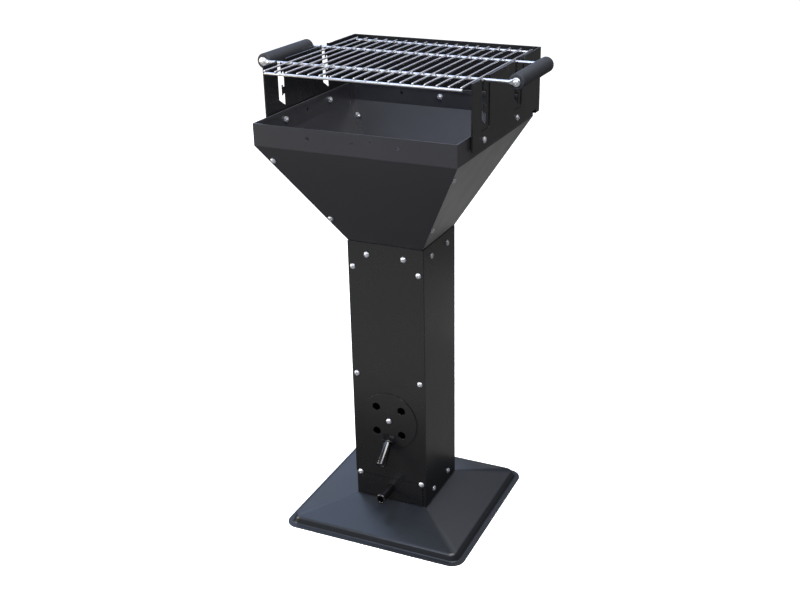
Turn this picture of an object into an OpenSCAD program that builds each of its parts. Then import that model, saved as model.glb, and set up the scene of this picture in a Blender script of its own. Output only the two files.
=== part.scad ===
// Pedestal barbecue: pressed base, square column, folded funnel and a lift-off cooking grate.
// Pieces are built about the column's axis, with X to the right, Y to the back and Z up.

/* [Base plate] */
// Width of the base plate, left to right
base_w = 400; // [360:1:440]
// Depth of the base plate, front to back
base_d = 382; // [340:1:440]
// Radius of its corners
base_corner_r = 28; // [24:1:40]
// Thickness of its pressed sheet
base_sheet_t = 2.5; // [2:0.1:3]
// Width of the flat lip that lies on the floor
base_lip_w = 11; // [9:0.5:14]
// Height of the steep riser above the lip
base_riser_h = 14; // [10:0.5:18]
// How far the riser leans inward
base_riser_lean = 4; // [3:0.5:6]
// Height of the plateau that carries the column
base_h = 44; // [38:1:56]
// Margin of the plateau round the column
base_margin = 1; // [0.5:0.5:3]

/* [Sheet and screws] */
// Thickness of the column, funnel and side sheets
sheet_t = 1.5; // [1.2:0.1:1.8]
// Outer radius of a folded column corner
bend_r = 2.5; // [2.2:0.1:3.5]
// Diameter of every screw's shank
screw_d = 6; // [5:0.5:6]
// Diameter of a pan head
head_d = 11.5; // [10:0.5:12]
// Height of a pan head
head_h = 3.6; // [3:0.1:4]
// Straight edge under the dome of a pan head
head_edge_h = 1; // [0.6:0.1:1.4]
// Width across the flats of a nut
nut_flats = 10; // [9:0.5:10.5]
// Height of a nut
nut_h = 4.5; // [4:0.1:5.5]
// How far a screw's end stands out of its nut
screw_tail = 2; // [1:0.5:3]
// Radial clearance of a screw in a sheet's hole
hole_gap = 0.3; // [0.2:0.05:0.4]
// Radial clearance between a nut's thread and its screw
thread_gap = 0.1; // [0.05:0.05:0.15]

/* [Column] */
// Width and depth of the square column
column_w = 160; // [150:1:170]
// Height of the column above the plateau
column_h = 572; // [520:1:620]
// Width of the narrow flanges folded behind the front panel
flange_w = 22; // [21:0.5:24]
// Height of the drawer's opening above the plateau
drawer_opening_h = 54; // [50:1:60]
// Distance of the front panel's screws from the column's side
front_screw_inset = 10; // [9.5:0.5:11]
// Distance of the highest front panel screws below the column's top
front_screw_drop = 52.5; // [48:0.5:60]
// Radius of the rounded lobes round the lowest screws
lobe_r = 8.5; // [8:0.5:9.5]

/* [Base brackets] */
// Thickness of the two L brackets inside the column
bracket_t = 2; // [2:0.5:2.5]
// Length of a bracket, front to back
bracket_l = 112; // [100:1:120]
// Height of a bracket's upright leg
bracket_h = 38; // [34:1:42]
// Width of a bracket's foot
bracket_foot_w = 18; // [17:0.5:19]
// Distance of a bracket's side screws from the middle
bracket_screw_y = 38; // [34:1:42]
// Height of a bracket's side screws above the plateau
bracket_screw_h = 23; // [21:0.5:26]
// Distance of the base bolts from the middle
base_bolt_y = 44; // [40:1:48]
// Diameter of a base bolt's countersunk head
sunk_head_d = 11; // [10:0.5:12]

/* [Funnel] */
// Width of the square rim
rim_w = 397; // [390:1:402]
// Height of the upright rim
rim_h = 41; // [40:0.5:46]
// Height of the sloping part
slope_h = 205.5; // [190:0.5:220]
// Length of the skirts that drop into the column
skirt_l = 39; // [34:1:44]
// Width of a skirt
skirt_w = 104; // [96:1:108]
// Distance of the skirt screws from the middle
skirt_screw_x = 39; // [36:0.5:42]
// Distance of the skirt screws below the column's top
skirt_screw_drop = 24; // [20:0.5:27]
// Width of the flange that a panel folds behind its neighbour
hip_flange_w = 20; // [18:0.5:22]
// Height of the closed hem inside the rim's top
hem_h = 8; // [6:0.5:9]
// Distance at which the hem stops short of the rim's corner
hem_notch = 26; // [24:1:32]
// Distance between the holes in each rim
rim_hole_pitch = 87.5; // [82:0.5:92]
// Distance of those holes below the rim's top
rim_hole_drop = 18; // [17:0.5:19]
// Distance of the upper hip screws below the slope's top
hip_screw_high = 29.5; // [24:0.5:40]
// Height of the lower hip screws above the column's top
hip_screw_low = 51; // [40:1:60]
// Distance of the hip screws from the hip, measured level
hip_screw_inset = 10; // [9:0.5:12]

/* [Hanger plates and side panels] */
// Thickness of the washers between rim and hanger plate
spacer_t = 2.5; // [2:0.1:3]
// Diameter of those washers
spacer_d = 14; // [13:0.5:16]
// Distance of the plates' front edge from the column's axis
side_front = 144; // [130:1:150]
// Height of the plates' top above the rim's top
side_rise = 92; // [86:0.5:96]
// How far the plates reach below the rim's top
side_drop = 26.5; // [26:0.5:30]
// Distance of the front slot's front edge from the column's axis
slot_front = 97.5; // [90:0.5:100]
// Width of a slot
slot_w = 22.6; // [22:0.2:25]
// Distance between the front and the rear slot
slot_pitch = 171; // [165:0.5:176]
// Height of a slot's bottom at its front, above the rim's top
slot_bottom = 20; // [18:0.5:22]
// How far a slot's bottom slants down to the rear
slot_slant = 14; // [12:0.5:15]
// Width of a hook's pocket
pocket_w = 7; // [6.6:0.1:7.4]
// Thickness of a hook's upright bar
hook_bar_t = 3; // [2.5:0.1:3.5]
// Height of a hook's stem under its seat
hook_stem_h = 13; // [10:0.5:14]
// How far a hook's bar reaches above its seat
hook_bar_up = 4.5; // [4:0.5:6]
// How far a hook's bar reaches below its stem
hook_bar_down = 2.5; // [1:0.5:4]
// Depth of the top seat below the plates' top
top_seat_drop = 9.3; // [5:0.1:10]
// Height between the top and the middle seat
seat_pitch = 41.1; // [38:0.1:44]
// Height of the pointed horns beside the slots
horn_h = 2; // [1:0.5:3]
// Length of a horn's slope
horn_l = 8; // [5:0.5:12]
// How far an outer window is wider than its slot in front
window_front = 5.6; // [4:0.2:8]
// How far an outer window is wider than its slot behind
window_rear = 13.6; // [10:0.2:16]
// How far an outer window reaches below its slot
window_below = 7; // [4:0.5:8]
// Radius of the windows' lower corners
window_r = 4; // [2:0.5:6]

/* [Back shield] */
// Distance of the shield's back behind the rim
shield_back = 22.5; // [20:0.5:26]
// How far the shield reaches below the side panels
shield_drop = 8; // [4:0.5:10]
// Length of the shield's upper wings, front to back
wing_l = 101; // [96:1:108]
// Height of those wings
wing_h = 60; // [56:0.5:64]
// Radius of a wing's front top corner
wing_r = 9; // [5:0.5:14]
// Width of the tab that is screwed to the back rim
shield_tab_w = 90; // [60:1:140]
// Height of that tab
shield_tab_h = 28; // [26:0.5:32]

/* [Air vent] */
// Diameter of the vent disc
vent_d = 124; // [116:1:126]
// Height of its centre above the plateau
vent_h = 190.5; // [180:0.5:200]
// Diameter of its four air holes
vent_hole_d = 17; // [14:0.5:20]
// Distance of the air holes from the centre, level and upright
vent_hole_offset = 28; // [24:0.5:30]
// Gap between the disc and the front panel
vent_gap = 0.3; // [0.2:0.1:0.6]
// Radial running clearance on the pivot screw
pivot_gap = 0.08; // [0.05:0.01:0.1]
// Diameter of the washer behind the pivot screw
washer_d = 18; // [14:0.5:20]
// Thickness of that washer
washer_t = 1.6; // [1:0.1:2]
// Width of the tab bent out for the knob
vent_tab_w = 24; // [20:1:26]
// Length of that tab
vent_tab_l = 20; // [18:0.5:21]
// Lean of that tab away from the disc, in degrees
vent_tab_lean = 43; // [35:1:50]
// Height of the tab's fold above the disc's lower edge
vent_tab_up = 8; // [5:0.5:11]
// Relief cut round the end and sides of the tab
vent_tab_relief = 1; // [0.5:0.5:2]

/* [Knobs] */
// Length of a knob
knob_l = 50; // [44:0.5:56]
// Diameter of a knob at its base
knob_base_d = 17; // [15:0.5:18]
// Diameter of a knob at its end
knob_end_d = 22; // [19:0.5:24]
// Diameter of the deep hollow in a knob's end
knob_hollow_d = 13; // [10:0.5:14]
// Depth of that hollow
knob_hollow_l = 24; // [16:1:25]
// Rounding of a knob's end
knob_round = 2; // [1:0.1:2.5]
// Length of a knob's screw inside the knob
knob_thread_l = 18; // [12:1:22]

/* [Ash drawer] */
// Thickness of the drawer's box
drawer_wall = 1.2; // [1:0.1:1.5]
// Depth of the drawer's box, front to back
drawer_l = 146; // [130:1:150]
// Height of the drawer's box
drawer_box_h = 46; // [38:1:48]
// Half width of the overlay front
drawer_front_x = 72; // [70:0.5:74]
// Gap between the overlay front and the plateau
drawer_front_gap = 3; // [2:0.5:5]
// Gap between the overlay front and the panel above it
drawer_top_gap = 1; // [0.8:0.1:2]
// Gap at each side of the box in the column's opening
drawer_side_gap = 2; // [1:0.5:4]
// Height of the knob above the plateau
drawer_knob_h = 31; // [24:0.5:34]

/* [Cooking grate] */
// Depth of the grate between its cross wires
grate_d = 362; // [350:1:368]
// Gap between the back shield and the rear cross wire
grate_rear_gap = 28.9; // [24:0.1:34]
// Gap between a hanger plate and a cross wire's end when the grate lies in the middle
grate_side_gap = 11; // [9:0.5:14]
// Number of front-to-back bars
grate_bar_count = 18; // [14:1:22]
// Diameter of a bar
bar_d = 3.5; // [3:0.1:4]
// Diameter of the front and the back cross wire
wire_d = 5; // [4:0.1:6]
// Diameter of the two carrying rods
rod_d = 6; // [5:0.1:6.4]
// Distance from a side panel's outer face to its handle's axis
handle_pitch = 46; // [40:0.5:51]
// Diameter of a handle
handle_d = 29; // [25:0.5:32]
// Diameter of the eyelets at the rods' ends
eyelet_d = 16; // [14:0.5:18]
// Thickness of an eyelet
eyelet_t = 4; // [3:0.5:5]
// Rounding of a handle's ends
handle_round = 2; // [1:0.5:3]
// Length of a handle bolt's thread inside the handle
handle_bolt_l = 25; // [18:1:40]
// Diameter of a handle bolt's low head
bolt_head_d = 9.5; // [8.5:0.5:12]
// Height of that head
bolt_head_h = 2; // [1.5:0.1:3]
// How far the loose grate lies to the right of the middle
grate_shift = 7.5; // [0:0.5:8]

/* [Charcoal grate] */
// Height of the charcoal grate's cross wires above the column's top
coal_h = 74; // [60:1:100]
// Diameter of its wires and bars
coal_wire_d = 5; // [4:0.5:6]
// Largest distance between its bars
coal_pitch = 17; // [15:0.5:24]
// Distance of its outer bars and cross wires from the funnel's side walls
coal_margin = 30; // [28:0.5:36]
// Clearance between its ends and the funnel
coal_gap = 0.3; // [0.2:0.1:0.5]

/* [Hidden] */

$fn = 48;
// Facets of a rounded corner that a hull blends
blend_fn = 32;
// Overrun of every cut
cut = 1;
// Clearance between flat faces that slide on each other
slide_gap = 0.3;
// Thickness of a slice that a hull starts from
slice = 0.01;

screw_r = screw_d / 2;
hole_r = screw_r + hole_gap;
nut_r = nut_flats / 2 / cos(30);
dome_h = head_h - head_edge_h;
dome_r = (pow(head_d / 2, 2) + pow(dome_h, 2)) / (2 * dome_h);

column_r = column_w / 2;
column_in = column_r - sheet_t;
column_top = base_h + column_h;
opening_top = base_h + drawer_opening_h;
opening_r = column_r - flange_w;
front_screw_x = column_r - front_screw_inset;
front_screw_top = column_top - front_screw_drop;
front_screw_zs = [opening_top, (opening_top + front_screw_top) / 2, front_screw_top];
skirt_screw_z = column_top - skirt_screw_drop;
bracket_screw_z = base_h + bracket_screw_h;
base_bolt_x = column_in - bracket_foot_w / 2;

rim_r = rim_w / 2;
rim_z = column_top + slope_h;
rim_top = rim_z + rim_h;
slope_run = rim_r - column_in;
slope_angle = atan2(slope_run, slope_h);
fold_rise = tan(slope_angle / 2);
rim_hole_z = rim_top - rim_hole_drop;

hanger_x = rim_r + spacer_t;
panel_x = hanger_x + sheet_t;
side_top = rim_top + side_rise;
side_bottom = rim_top - side_drop;
shield_y = rim_r + shield_back;
shield_in = shield_y - sheet_t;
return_y = rim_r + sheet_t;
wing_z = side_top - wing_h;
shield_bottom = side_bottom - shield_drop;
// Thickness that the side panel screws hold together
side_grip = spacer_t + 3 * sheet_t;

slot_y = -slot_front;
slot_z = rim_top + slot_bottom;
seat_top_z = side_top - top_seat_drop;
seat_mid_z = seat_top_z - seat_pitch;
rod_r = rod_d / 2;
rod_y = slot_y + slot_w - pocket_w / 2;
rod_z = seat_top_z + rod_r;
bars_z = rod_z + rod_r + bar_d / 2;
wires_z = rod_z + rod_r - wire_d / 2;
handle_x = panel_x + sheet_t + handle_pitch;
// Width of the grate between its outer bars' middles
grate_w = 2 * (hanger_x - grate_side_gap) - bar_d;
rear_wire_y = shield_in - grate_rear_gap - wire_d / 2;
front_wire_y = rear_wire_y - grate_d;

vent_z = base_h + vent_h;
vent_back = column_r + vent_gap;
vent_fold = vent_z - vent_d / 2 + vent_tab_up;
// Thickness of panel, disc and gaps on the vent's pivot screw
vent_grip = 2 * sheet_t + vent_gap + slide_gap;

drawer_z = base_h + slide_gap;
drawer_r = opening_r - drawer_side_gap;
drawer_front_y = column_in + slide_gap;
drawer_knob_z = base_h + drawer_knob_h;

coal_z = column_top + coal_h;
coal_x = funnel_reach(coal_h - coal_wire_d / 2) - coal_gap;
coal_y = funnel_reach(coal_h + coal_wire_d / 2) - coal_gap;
coal_bar_x = coal_x - coal_margin;
coal_gaps = ceil(2 * coal_bar_x / coal_pitch);

// The origin lies on the floor under the middle of the whole outline
frame_x = -grate_shift;
frame_y = -(shield_y - rim_r) / 2;

// Puts a piece built about the column's axis into the part's frame
module placed() {
  translate([frame_x, frame_y, 0])
    children();
}

// Turns a piece built on the front to another side: 0 front, 1 right, 2 back, 3 left
module on_side(k) {
  rotate([0, 0, 90 * k])
    children();
}

// Stands a piece on an upright face of the front, its own Z pointing out of it
module out_of_front(x, r, z) {
  translate([x, -r, z])
    rotate([90, 0, 0])
      children();
}

// Extrudes an outline drawn in Y and Z to the right, from x
module to_right(x, t) {
  translate([x, 0, 0])
    rotate([90, 0, 90])
      linear_extrude(t)
        children();
}

// Extrudes an outline drawn in X and Z to the front, from y
module to_front(y, t) {
  translate([0, y, 0])
    rotate([90, 0, 0])
      linear_extrude(t)
        children();
}

// Pan head that sits on Z = 0
module pan_head() {
  cylinder(d = head_d, h = head_edge_h);
  translate([0, 0, head_edge_h])
    intersection() {
      cylinder(d = head_d, h = dome_h);
      translate([0, 0, dome_h - dome_r])
        sphere(dome_r, $fn = 96);
    }
}

// Pan-head screw whose shank goes down through a grip and a nut
module pan_screw(grip) {
  shank = grip + nut_h + screw_tail;
  pan_head();
  translate([0, 0, -shank])
    cylinder(r = screw_r, h = shank);
}

// Hexagon nut under a grip
module nut(grip) {
  translate([0, 0, -grip - nut_h])
    difference() {
      cylinder(r = nut_r, h = nut_h, $fn = 6);
      translate([0, 0, -cut])
        cylinder(r = screw_r + thread_gap, h = nut_h + 2 * cut);
    }
}

// Drill for a screw through a sheet whose outer face is Z = 0
module drill(depth) {
  translate([0, 0, -depth - cut])
    cylinder(r = hole_r, h = depth + 2 * cut);
}

// Square outline with round corners
module round_rect(w, d, r) {
  square([w - 2 * r, d], center = true);
  square([w, d - 2 * r], center = true);
  for (x = [-1, 1], y = [-1, 1])
    translate([x * (w / 2 - r), y * (d / 2 - r)])
      circle(r);
}

// Thin slice of the base's outline, drawn in by inset
module base_slice(inset, r, z) {
  translate([0, 0, z])
    linear_extrude(slice)
      round_rect(base_w - 2 * inset, base_d - 2 * inset, r, $fn = blend_fn);
}

// Form of the base between its lip and its plateau, drawn in by a wall
module base_form(wall) {
  foot = base_lip_w + wall;
  shoulder = foot + base_riser_lean;
  shoulder_z = base_sheet_t + base_riser_h - wall;
  top = column_w + 2 * base_margin;
  hull() {
    base_slice(foot, base_corner_r - base_lip_w, -wall);
    base_slice(shoulder, base_corner_r - base_lip_w, shoulder_z - slice);
  }
  hull() {
    base_slice(shoulder, base_corner_r - base_lip_w, shoulder_z - slice);
    translate([0, 0, base_h - wall - slice])
      linear_extrude(slice)
        square(top, center = true);
  }
}

// Bolt places on the plateau
module base_bolt_places() {
  for (x = [-1, 1], y = [-1, 1])
    translate([x * base_bolt_x, y * base_bolt_y, base_h])
      children();
}

module base_plate() {
  color("slategray") placed()
    difference() {
      union() {
        linear_extrude(base_sheet_t)
          round_rect(base_w, base_d, base_corner_r);
        base_form(0);
      }
      base_form(base_sheet_t);
      base_bolt_places()
        drill(base_sheet_t);
    }
}

// Countersunk head of a base bolt, with its top flush with the bracket's foot
module sunk_head(gap) {
  cylinder(r1 = screw_r + gap, r2 = sunk_head_d / 2 + gap, h = bracket_t);
}

// Right-hand bracket; the left one is its mirror image
module base_bracket() {
  difference() {
    union() {
      translate([column_in - bracket_foot_w, -bracket_l / 2, base_h])
        cube([bracket_foot_w, bracket_l, bracket_t]);
      translate([column_in - bracket_t, -bracket_l / 2, base_h])
        cube([bracket_t, bracket_l, bracket_h]);
    }
    base_bolt_places() {
      drill(base_sheet_t);
      sunk_head(hole_gap);
      translate([0, 0, bracket_t])
        cylinder(r = sunk_head_d / 2 + hole_gap, h = cut);
    }
    bracket_screw_places(1)
      drill(sheet_t + bracket_t);
  }
}

module base_bracket_left() {
  color("dimgray") placed()
    mirror([1, 0, 0])
      base_bracket();
}

module base_bracket_right() {
  color("dimgray") placed()
    base_bracket();
}

module base_bolts() {
  color("silver") placed()
    base_bolt_places() {
      shank = base_sheet_t + nut_h + screw_tail;
      sunk_head(0);
      translate([0, 0, -shank])
        cylinder(r = screw_r, h = shank);
    }
}

module base_nuts() {
  color("silver") placed()
    base_bolt_places()
      nut(base_sheet_t);
}

// Places of the bracket screws on one side of the column
module bracket_screw_places(k) {
  for (y = [-1, 1])
    on_side(k)
      out_of_front(y * bracket_screw_y, column_r, bracket_screw_z)
        children();
}

module bracket_screws() {
  color("silver") placed()
    for (k = [1, 3])
      bracket_screw_places(k)
        pan_screw(sheet_t + bracket_t);
}

module bracket_nuts() {
  color("silver") placed()
    for (k = [1, 3])
      bracket_screw_places(k)
        nut(sheet_t + bracket_t);
}

// Places of the screws down both edges of the front panel
module front_screw_places() {
  for (x = [-1, 1], z = front_screw_zs)
    out_of_front(x * front_screw_x, column_r, z)
      children();
}

// Places of the screws through one skirt of the funnel
module skirt_screw_places(k) {
  for (x = [-1, 1])
    on_side(k)
      out_of_front(x * skirt_screw_x, column_r, skirt_screw_z)
        children();
}

module column_shell() {
  color("#2a2a2c") placed()
    difference() {
      translate([0, 0, base_h])
        linear_extrude(column_h)
          difference() {
            translate([0, sheet_t / 2])
              round_rect(column_w, column_w - sheet_t, bend_r);
            translate([0, sheet_t / 2])
              round_rect(column_w - 2 * sheet_t, column_w - 3 * sheet_t, bend_r - sheet_t);
            translate([-opening_r, -column_r - cut])
              square([2 * opening_r, column_r]);
          }
      front_screw_places()
        drill(2 * sheet_t);
      for (k = [1, 2, 3])
        skirt_screw_places(k)
          drill(sheet_t);
      for (k = [1, 3])
        bracket_screw_places(k)
          drill(sheet_t);
    }
}

// Square pattern of the vent's air holes round its centre
module vent_holes(depth) {
  for (x = [-1, 1], z = [-1, 1])
    translate([x * vent_hole_offset, z * vent_hole_offset, -depth - cut])
      cylinder(d = vent_hole_d, h = depth + 2 * cut);
}

module column_front_panel() {
  color("#2e2e30") placed()
    difference() {
      to_front(-column_in, sheet_t)
        union() {
          translate([-column_r, opening_top])
            square([column_w, column_top - opening_top]);
          for (x = [-1, 1])
            translate([x * front_screw_x, opening_top])
              circle(lobe_r);
        }
      front_screw_places()
        drill(sheet_t);
      skirt_screw_places(0)
        drill(sheet_t);
      out_of_front(0, column_r, vent_z) {
        drill(sheet_t);
        vent_holes(sheet_t);
      }
    }
}

module front_panel_screws() {
  color("silver") placed()
    front_screw_places()
      pan_screw(2 * sheet_t);
}

module front_panel_nuts() {
  color("silver") placed()
    front_screw_places()
      nut(2 * sheet_t);
}

// Line of a funnel panel's surface in distance from the axis and height, drawn in by a
function funnel_line(a) = [
  [column_in - a, column_top - skirt_l],
  [column_in - a, column_top + a * fold_rise],
  [rim_r - a, rim_z + a * fold_rise],
  [rim_r - a, rim_top]
];

// Distance from the axis to the slope's inner face, at a height above the column's top
function funnel_reach(h) =
  column_in + h * tan(slope_angle) - sheet_t / cos(slope_angle);

// Section between the surfaces drawn in by a and by b
module funnel_band(a, b) {
  inner = funnel_line(b);
  polygon(concat(funnel_line(a), [for (i = [len(inner) - 1 : -1 : 0]) inner[i]]));
}

// Section of everything inside the surface drawn in by a
module funnel_inside(a) {
  polygon(concat(funnel_line(a), [[-rim_r, rim_top], [-rim_r, column_top - skirt_l]]));
}

// Extrudes a section across the front
module across_front() {
  rotate([90, 0, -90])
    translate([0, 0, -rim_r])
      linear_extrude(rim_w)
        children();
}

// Closed hem inside the rim's top, short of both corners
module rim_hem() {
  l = rim_w - 2 * hem_notch;
  rotate([90, 0, -90])
    translate([0, 0, -l / 2])
      linear_extrude(l)
        union() {
          translate([rim_r - sheet_t, rim_top - sheet_t])
            circle(sheet_t);
          translate([rim_r - 2 * sheet_t, rim_top - hem_h])
            square([sheet_t, hem_h - sheet_t]);
        }
}

// Places of the hip screws on the front panel's left edge, square to its slope
module hip_screw_places(k) {
  for (h = [hip_screw_low, slope_h - hip_screw_high])
    on_side(k)
      translate([
        hip_screw_inset - column_in - h * tan(slope_angle),
        -column_in - h * tan(slope_angle),
        column_top + h
      ])
        rotate([90 + slope_angle, 0, 0])
          children();
}

// Places of the three holes in one rim
module rim_hole_places(k, shares) {
  for (share = shares)
    on_side(k)
      out_of_front(share * rim_hole_pitch, rim_r, rim_hole_z)
        children();
}

// One of the four identical folded panels; its left edge laps its neighbour's flange
module funnel_panel(k) {
  placed()
    difference() {
      on_side(k) {
        intersection() {
          across_front()
            funnel_band(0, sheet_t);
          on_side(1)
            across_front()
              funnel_inside(sheet_t);
          on_side(3)
            across_front()
              funnel_inside(0);
        }
        intersection() {
          across_front()
            funnel_band(0, hip_flange_w);
          on_side(1)
            across_front()
              funnel_band(sheet_t, 2 * sheet_t);
          translate([0, -rim_w, column_top])
            cube([rim_w, rim_w, slope_h + rim_h]);
        }
        rim_hem();
      }
      on_side(k)
        for (x = [-1, 1])
          translate([x * (skirt_w + rim_w) / 2, 0, column_top - (skirt_l + cut) / 2])
            cube([rim_w, rim_w, skirt_l + cut], center = true);
      hip_screw_places(k)
        drill(2 * sheet_t);
      hip_screw_places(k + 1)
        drill(2 * sheet_t);
      rim_hole_places(k, [-1, 0, 1])
        drill(sheet_t);
      skirt_screw_places(k)
        drill(2 * sheet_t);
    }
}

module funnel_panel_front() {
  color("#3a3a3b") funnel_panel(0);
}

module funnel_panel_right() {
  color("#4a4a4c") funnel_panel(1);
}

module funnel_panel_back() {
  color("#3a3a3b") funnel_panel(2);
}

module funnel_panel_left() {
  color("#4a4a4c") funnel_panel(3);
}

module hip_screws() {
  color("silver") placed()
    for (k = [0 : 3])
      hip_screw_places(k)
        pan_screw(2 * sheet_t);
}

module hip_nuts() {
  color("silver") placed()
    for (k = [0 : 3])
      hip_screw_places(k)
        nut(2 * sheet_t);
}

module skirt_screws() {
  color("silver") placed()
    for (k = [0 : 3])
      skirt_screw_places(k)
        pan_screw(2 * sheet_t);
}

module skirt_nuts() {
  color("silver") placed()
    for (k = [0 : 3])
      skirt_screw_places(k)
        nut(2 * sheet_t);
}

// Repeats an outline at the front and the rear slot
module at_slots() {
  for (y = [0, slot_pitch])
    translate([y, 0])
      children();
}

// Corner points of one slot with the pointed horns beside its mouth, in Y and Z
function slot_points(shift) = [
  [shift + slot_y - horn_l, side_top],
  [shift + slot_y, side_top + horn_h],
  [shift + slot_y, slot_z],
  [shift + slot_y + slot_w, slot_z - slot_slant],
  [shift + slot_y + slot_w, side_top + horn_h],
  [shift + slot_y + slot_w + horn_l, side_top]
];

// Outline of a hanger plate with both slots
module hanger_outline() {
  polygon(concat(
    [[-side_front, side_bottom], [-side_front, side_top]],
    slot_points(0),
    slot_points(slot_pitch),
    [[shield_in, side_top], [shield_in, side_bottom]]
  ));
}

// Hook that grows forward from a slot's rear edge, with its seat at a height
module hook_outline(seat_z) {
  bar_y = slot_y + slot_w - pocket_w - hook_bar_t;
  stem_z = seat_z - hook_stem_h;
  translate([bar_y, stem_z])
    square([hook_bar_t + pocket_w + cut, hook_stem_h]);
  translate([bar_y, stem_z - hook_bar_down])
    square([hook_bar_t, hook_bar_down + hook_stem_h + hook_bar_up]);
}

// Inner plate of the right side, which carries the grate's rods in its hooks
module hanger_plate() {
  difference() {
    union() {
      to_right(hanger_x, sheet_t)
        hanger_outline();
      to_right(hanger_x, sheet_t)
        at_slots()
          hook_outline(seat_top_z);
      to_right(hanger_x, sheet_t)
        at_slots()
          hook_outline(seat_mid_z);
    }
    side_screw_places(1)
      drill(2 * sheet_t);
  }
}

// Places of the screws through one side's two skins, on its outer face
module side_screw_places(k) {
  for (share = [-1, 1])
    on_side(k)
      out_of_front(share * rim_hole_pitch, panel_x + sheet_t, rim_hole_z)
        children();
}

module hanger_plate_left() {
  color("#303032") placed()
    mirror([1, 0, 0])
      hanger_plate();
}

module hanger_plate_right() {
  color("#303032") placed()
    hanger_plate();
}

// Outline of an outer window in Y and Z, with round lower corners
module window_outline() {
  w = window_front + slot_w + window_rear;
  z = slot_z - slot_slant - window_below;
  translate([slot_y - window_front, z + window_r])
    square([w, side_top + horn_h + cut - z - window_r]);
  translate([slot_y - window_front + window_r, z])
    square([w - 2 * window_r, window_r + cut]);
  for (y = [window_r, w - window_r])
    translate([slot_y - window_front + y, z + window_r])
      circle(window_r);
}

// Outer skin of the right side, with its two windows
module side_panel() {
  rear = return_y - slide_gap;
  step_y = slot_y + slot_pitch + slot_w;
  difference() {
    to_right(panel_x, sheet_t)
      difference() {
        translate([-side_front, side_bottom])
          square([side_front + rear, side_top - side_bottom]);
        at_slots()
          window_outline();
        translate([step_y, wing_z - slide_gap])
          square([rear + cut - step_y, wing_h + slide_gap + cut]);
      }
    side_screw_places(1)
      drill(sheet_t);
  }
}

module side_panel_left() {
  color("#353537") placed()
    mirror([1, 0, 0])
      side_panel();
}

module side_panel_right() {
  color("#353537") placed()
    side_panel();
}

module side_panel_screws() {
  color("silver") placed()
    for (k = [1, 3])
      side_screw_places(k)
        pan_screw(side_grip);
}

module side_panel_nuts() {
  color("silver") placed()
    for (k = [1, 3])
      side_screw_places(k)
        nut(side_grip);
}

module side_panel_spacers() {
  color("silver") placed()
    for (k = [1, 3])
      side_screw_places(k)
        translate([0, 0, -spacer_t - 2 * sheet_t])
          difference() {
            cylinder(d = spacer_d, h = spacer_t);
            translate([0, 0, -cut])
              cylinder(r = hole_r, h = spacer_t + 2 * cut);
          }
}

// Side return and wing of the shield, in Y and Z
module wing_outline() {
  wing_y = shield_y - wing_l;
  translate([return_y, shield_bottom])
    square([shield_y - return_y, wing_z - shield_bottom + cut]);
  translate([wing_y, wing_z])
    square([wing_l, wing_h - wing_r]);
  translate([wing_y + wing_r, wing_z])
    square([wing_l - wing_r, wing_h]);
  translate([wing_y + wing_r, side_top - wing_r])
    circle(wing_r);
}

module back_shield() {
  half = panel_x + sheet_t;
  color("#2c2c2e") placed()
    difference() {
      union() {
        to_front(shield_y, sheet_t)
          translate([-half, shield_bottom])
            square([2 * half, side_top - shield_bottom]);
        to_right(panel_x, sheet_t)
          wing_outline();
        to_right(-half, sheet_t)
          wing_outline();
        translate([-half, rim_r, shield_bottom])
          cube([2 * half, shield_back, sheet_t]);
        to_front(rim_r + sheet_t, sheet_t)
          translate([-shield_tab_w / 2, shield_bottom])
            square([shield_tab_w, shield_tab_h]);
      }
      shield_screw_place()
        drill(sheet_t);
    }
}

// Place of the shield's screw, in the middle hole of the back rim
module shield_screw_place() {
  on_side(2)
    out_of_front(0, rim_r + sheet_t, rim_hole_z)
      children();
}

module back_shield_screw() {
  color("silver") placed()
    shield_screw_place()
      pan_screw(2 * sheet_t);
}

module back_shield_nut() {
  color("silver") placed()
    shield_screw_place()
      nut(2 * sheet_t);
}

// Place of the vent's pivot on the disc's outer face
module vent_place() {
  out_of_front(0, vent_back + sheet_t, vent_z)
    children();
}

module vent_pivot_screw() {
  color("silver") placed()
    vent_place()
      translate([0, 0, slide_gap])
        pan_screw(vent_grip + washer_t);
}

module vent_pivot_washer() {
  color("silver") placed()
    vent_place()
      translate([0, 0, slide_gap - vent_grip - washer_t])
        difference() {
          cylinder(d = washer_d, h = washer_t);
          translate([0, 0, -cut])
            cylinder(r = screw_r + thread_gap, h = washer_t + 2 * cut);
        }
}

module vent_pivot_nut() {
  color("silver") placed()
    vent_place()
      translate([0, 0, slide_gap])
        nut(vent_grip + washer_t);
}

// Stands a piece on the vent's bent tab, its own Z square to the tab's outer face
module on_vent_tab() {
  translate([0, -vent_back - sheet_t, vent_fold])
    rotate([90 + vent_tab_lean, 0, 0])
      translate([0, vent_tab_l / 2, 0])
        children();
}

// Section of the bent tab with its mitred fold, in Y and Z
module vent_tab_outline() {
  face_y = -vent_back - sheet_t;
  end_y = face_y - vent_tab_l * sin(vent_tab_lean);
  end_z = vent_fold + vent_tab_l * cos(vent_tab_lean);
  polygon([
    [face_y, vent_fold - cut],
    [face_y, vent_fold],
    [end_y, end_z],
    [end_y + sheet_t * cos(vent_tab_lean), end_z + sheet_t * sin(vent_tab_lean)],
    [face_y + sheet_t, vent_fold + sheet_t * tan(vent_tab_lean / 2)],
    [face_y + sheet_t, vent_fold - cut]
  ]);
}

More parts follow.
